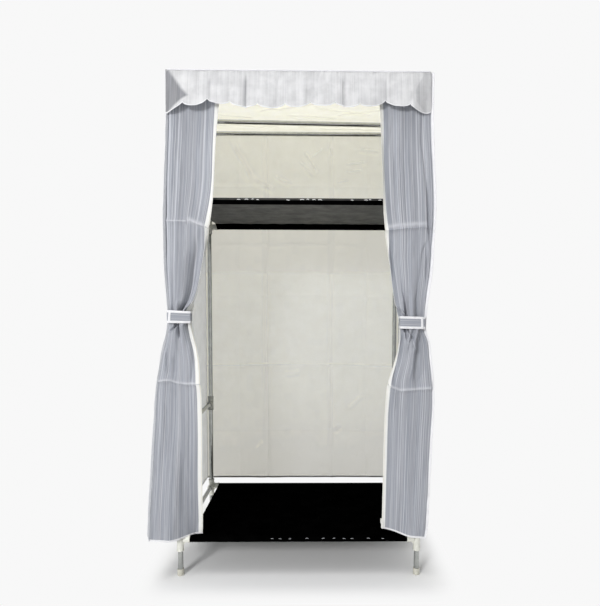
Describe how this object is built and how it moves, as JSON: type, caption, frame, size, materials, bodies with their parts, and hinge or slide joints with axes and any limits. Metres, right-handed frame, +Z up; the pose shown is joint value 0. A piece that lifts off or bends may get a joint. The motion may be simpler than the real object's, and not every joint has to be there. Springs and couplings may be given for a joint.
{
  "type": "portable fabric wardrobe",
  "caption": "Portable wardrobe: steel tube frame in plastic fittings, fabric shelves and a striped fabric cover with tied-back front strips, a rolled-up door and a scalloped valance.",
  "frame": {"origin": "on the floor under the middle of the bounding box of the whole wardrobe; the point midway between the four posts is at x 24.8 mm, y 13.0 mm", "axes": "+Z up, the open front faces -Y, +X to the right as seen from the front"},
  "size_m": [0.8424, 0.489, 1.4999],
  "materials": {
    "tube_steel": "bright polished silver tube with faint lengthwise streaks",
    "fitting_plastic": "satin moulded light grey-beige",
    "foot_cap_plastic": "satin translucent light grey",
    "shelf_cloth": "matt black non-woven with a pressed dimple grain",
    "cover_cloth": "matt grey cloth printed with fine irregular lengthwise stripes, white bound edges",
    "cover_lining": "matt cream non-woven inside, striped outside",
    "zip_metal": "glossy white enamel"
  },
  "bodies": {
    "frame_and_cover": {"foot_cap_front_left": "foot_cap_plastic", "post_front_left": "tube_steel", "bottom_fitting_front_left": "fitting_plastic", "side_bar_fitting_front_left": "fitting_plastic", "shelf_fitting_front_left": "fitting_plastic", "top_post_front_left": "tube_steel", "top_fitting_front_left": "fitting_plastic", "foot_cap_front_right": "foot_cap_plastic", "post_front_right": "tube_steel", "bottom_fitting_front_right": "fitting_plastic", "side_bar_fitting_front_right": "fitting_plastic", "shelf_fitting_front_right": "fitting_plastic", "top_post_front_right": "tube_steel", "top_fitting_front_right": "fitting_plastic", "foot_cap_back_left": "foot_cap_plastic", "post_back_left": "tube_steel", "bottom_fitting_back_left": "fitting_plastic", "side_bar_fitting_back_left": "fitting_plastic", "shelf_fitting_back_left": "fitting_plastic", "top_post_back_left": "tube_steel", "top_fitting_back_left": "fitting_plastic", "foot_cap_back_right": "foot_cap_plastic", "post_back_right": "tube_steel", "bottom_fitting_back_right": "fitting_plastic", "side_bar_fitting_back_right": "fitting_plastic", "shelf_fitting_back_right": "fitting_plastic", "top_post_back_right": "tube_steel", "top_fitting_back_right": "fitting_plastic", "bottom_rail_front": "tube_steel", "bottom_rail_back": "tube_steel", "shelf_rail_front": "tube_steel", "shelf_rail_back": "tube_steel", "top_rail_front": "tube_steel", "top_rail_back": "tube_steel", "bottom_rail_left": "tube_steel", "bottom_rail_right": "tube_steel", "middle_rail_left": "tube_steel", "middle_rail_right": "tube_steel", "shelf_rail_left": "tube_steel", "shelf_rail_right": "tube_steel", "top_rail_left": "tube_steel", "top_rail_right": "tube_steel", "cross_rail": "tube_steel", "cross_rail_tee_left": "fitting_plastic", "cross_rail_tee_right": "fitting_plastic", "upper_shelf": "shelf_cloth", "lower_shelf": "shelf_cloth", "front_strip_left": "cover_cloth", "front_strip_right": "cover_cloth", "side_wall_left": "cover_cloth", "side_wall_right": "cover_cloth", "rolled_door": "cover_cloth", "back_wall": "cover_lining", "roof": "cover_lining"},
    "valance": {"valance": "cover_cloth"},
    "tie_band_left": {"tie_band_left": "cover_cloth"},
    "tie_band_right": {"tie_band_right": "cover_cloth"},
    "zip_slider": {"zip_slider": "zip_metal"},
    "zip_pull": {"zip_pull": "zip_metal"}
  },
  "joints": [
    {"name": "valance_lift", "type": "hinge", "parent": "frame_and_cover", "child": "valance", "pos_m": [0.0248, -0.22198, 1.49916], "axis": [-1, 0, 0], "range_deg": [0, 110]},
    {"name": "tie_band_left_open", "type": "hinge", "parent": "frame_and_cover", "child": "tie_band_left", "pos_m": [-0.29036, -0.23795, 0.789], "axis": [0, 0, 1], "range_deg": [0, 150]},
    {"name": "tie_band_right_open", "type": "hinge", "parent": "frame_and_cover", "child": "tie_band_right", "pos_m": [0.32199, -0.2376, 0.775], "axis": [0, 0, -1], "range_deg": [0, 150]},
    {"name": "zip_run", "type": "slide", "parent": "frame_and_cover", "child": "zip_slider", "axis": [0.0058, -0.0568, 0.9984], "range_m": [0, 0.28]},
    {"name": "zip_pull_swing", "type": "hinge", "parent": "zip_slider", "child": "zip_pull", "pos_m": [0.2802, -0.19994, 0.16587], "axis": [-1, 0, 0], "range_deg": [0, 160]}
  ]
}
